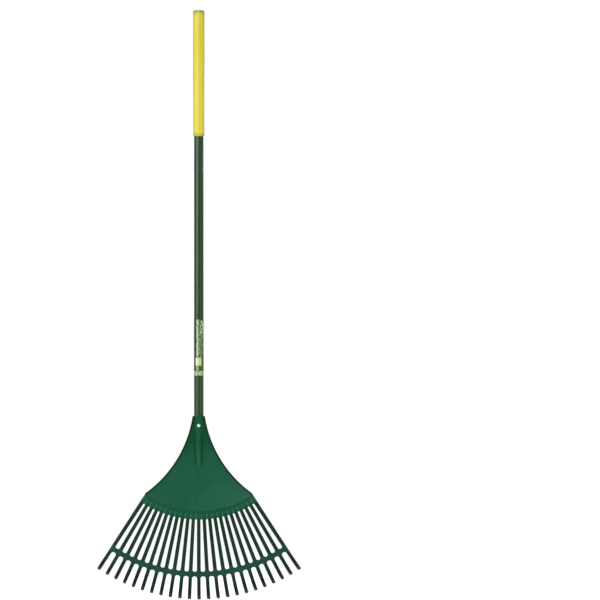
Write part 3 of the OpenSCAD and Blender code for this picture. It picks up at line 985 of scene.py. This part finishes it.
def grip():
    """The grip's sleeve: a rolled lower edge, a slow taper and a rounded top with a small dimple,
    and a shallow parting line down its front and its back."""
    low, high = GRIP_BOTTOM, GRIP_TOP
    bore, top_t, edge = 14.36, 3.0, 6.0
    low_r, high_r = 17.0, 17.8
    taper_start, taper_end = low + 45, low + 237
    outside_r, grooved_from, groove_depth, groove_w = 17.6, 16.4, 0.16, 0.55
    profile = [(bore, low + 0.6), (bore + 0.6, low)]
    for i in range(1, 13):
        a = -math.pi / 2 + math.pi * i / 13
        profile.append((15.2 + 2.3 * math.cos(a), low + 2.4 + 2.4 * math.sin(a)))
    profile += [(low_r - 0.25, low + 5.3), (low_r - 0.05, low + 6.2), (low_r, low + 8)]
    profile += [(low_r, low + up) for up in (14, 22, 30, 38)]
    for i in range(25):
        t = i / 24
        profile.append((lerp(low_r, high_r, smooth(t)), lerp(taper_start, taper_end, t)))
    profile += [(high_r, lerp(taper_end, high - edge, i / 12)) for i in range(1, 13)]
    profile += arc(high_r - edge, high - edge, edge, 0, 90, 10)[1:]
    profile += [(8.0, high), (4.6, high - 0.05), (4.2, high - 0.6)]
    profile += [(3.9, high - 0.65), (0.0, high - 0.65)]
    profile += [(0.0, high - top_t), (bore - 0.5, high - top_t)]
    profile += [(bore, high - top_t - 0.5), (bore, low + 0.6)]

    def beside_parting(angle):
        """Signed distance round the grip from the nearer of its two parting lines."""
        return ((angle + math.pi) % math.pi - math.pi / 2) * outside_r

    def parted(r, z, angle):
        """The outside has a narrow groove along each parting line."""
        if r <= grooved_from:
            return r, z
        return r - groove_depth * math.exp(-((beside_parting(angle) / groove_w) ** 2)), z

    def seam_line_and_shade(angle):
        """A dark line along the seam, with painted shade that fades slowly to one side."""
        d = beside_parting(angle)
        line = math.exp(-((d / 0.9) ** 2))
        return 0.75 * line if d < 0 else 0.35 * line + 0.5 * math.exp(-((d / 6) ** 2))

    points, faces = revolve(profile, 200, parted)
    tones = []
    for p in points:
        angle, up = math.atan2(p.y, p.x), (p.z - MOUTH_Z) * 1000
        line = seam_line_and_shade(angle) if math.hypot(p.x, p.y) > 0.016 else 0.0
        # The ends: painted shade on the rounded top, and darker over the rolled lower edge
        ends = max(0.75 * smooth((up - high + 17) / 12), 0.6 * (1 - smooth((up - low - 4) / 8)))
        tones.append(line if line > ends else -ends)
    obj = piece("grip_sleeve", points, faces, grip_vinyl, 50, tones=tones)
    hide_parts("hand_grip")


grip()
for node, material in (
    ("handle_tube", tube_finish),
    ("core_plug", core_wood),
    ("end_plug", plug_black),
    ("head_screw", screw_zinc),
    ("handle_label", film),
):
    obj = frame["nodes"][node]
    obj.data.materials.clear()
    obj.data.materials.append(material)

# ---------------------------------------------------------------- stage, lights and camera


def stage_floor():
    """A pale floor just under the tips. It glows, so that it stays as pale as the background."""
    below, reach, back = 0.0012, 3, 1.6
    z = cad_box[0].z - below
    corners = [(-reach, -reach, z), (reach, -reach, z), (reach, back, z), (-reach, back, z)]
    mesh = bpy.data.meshes.new("floor")
    mesh.from_pydata(corners, [], [(0, 1, 2, 3)])
    mat = bpy.data.materials.new("floor_pale")
    mat.use_nodes = True
    shader = mat.node_tree.nodes["Principled BSDF"]
    shader.inputs["Base Color"].default_value = (0.9, 0.9, 0.9, 1)
    shader.inputs["Roughness"].default_value = 0.9
    shader.inputs["Emission Color"].default_value = (1, 1, 1, 1)
    shader.inputs["Emission Strength"].default_value = 0.8
    mesh.materials.append(mat)
    obj = bpy.data.objects.new("floor", mesh)
    bpy.context.scene.collection.objects.link(obj)


def softbox(name, location, target, width, height, power):
    """A rectangular light, with sizes in metres and its power in watts."""
    data = bpy.data.lights.new(name, "AREA")
    data.shape = "RECTANGLE"
    data.size, data.size_y = width, height
    data.energy = power
    obj = bpy.data.objects.new(name, data)
    bpy.context.scene.collection.objects.link(obj)
    obj.location = location
    obj.rotation_mode = "QUATERNION"
    obj.rotation_quaternion = (Vector(target) - Vector(location)).to_track_quat("-Z", "Y")


def world_light(sides, front):
    """White behind the object. What lights the object is dimmer, and dimmest from the front."""
    world = bpy.data.worlds.new("studio")
    bpy.context.scene.world = world
    world.use_nodes = True
    tree = world.node_tree
    tree.nodes.clear()

    def new(kind, *links, **settings):
        node = tree.nodes.new(kind)
        for key, value in settings.items():
            setattr(node, key, value)
        for out, index in links:
            tree.links.new(out, node.inputs[index])
        return node

    facing = new("ShaderNodeSeparateXYZ", (new("ShaderNodeTexCoord").outputs["Generated"], 0))
    level = new("ShaderNodeMapRange", (facing.outputs[1], 0), interpolation_type="SMOOTHSTEP")
    for index, value in enumerate((-1.0, -0.35, front, sides), 1):
        level.inputs[index].default_value = value
    dim = new("ShaderNodeBackground", (level.outputs[0], 1))
    bright = new("ShaderNodeBackground")
    for node in (dim, bright):
        node.inputs[0].default_value = (1, 1, 1, 1)
    seen = new("ShaderNodeLightPath").outputs["Is Camera Ray"]
    mix = new("ShaderNodeMixShader", (seen, 0), (dim.outputs[0], 1), (bright.outputs[0], 2))
    new("ShaderNodeOutputWorld", (mix.outputs[0], 0))


stage_floor()
world_light(0.3, 0.1)
softbox("key", (-1.2, -5.5, 1.6), (0, 0, -0.8), 1.5, 1.8, 146)
softbox("strip", (-3.66, -3.75, -0.22), (0, 0, -0.22), 1.5, 1.7, 36)
softbox("fill", (3.8, -3.2, -0.6), (0, 0, -0.8), 1.6, 2.4, 5)
softbox("back", (3.4, 4.4, 0.9), (0, 0, -0.8), 1.6, 2.0, 55)
bpy.context.scene.view_settings.view_transform = "Standard"

# A long lens from far off, level and square to the face, with the rake left of the middle
CAMERA_RIGHT, CAMERA_BACK, CAMERA_UP = 0.3056, 18.12, 0.3503
camera = bpy.data.cameras.new("camera")
camera.lens, camera.sensor_width = 360.0, 36.0
camera.clip_start, camera.clip_end = 1.0, 60.0
camera_obj = bpy.data.objects.new("camera", camera)
camera_obj.location = (CAMERA_RIGHT, -CAMERA_BACK, MOUTH_Z + CAMERA_UP)
camera_obj.rotation_euler = (math.pi / 2, 0, 0)
bpy.context.scene.collection.objects.link(camera_obj)
bpy.context.scene.camera = camera_obj
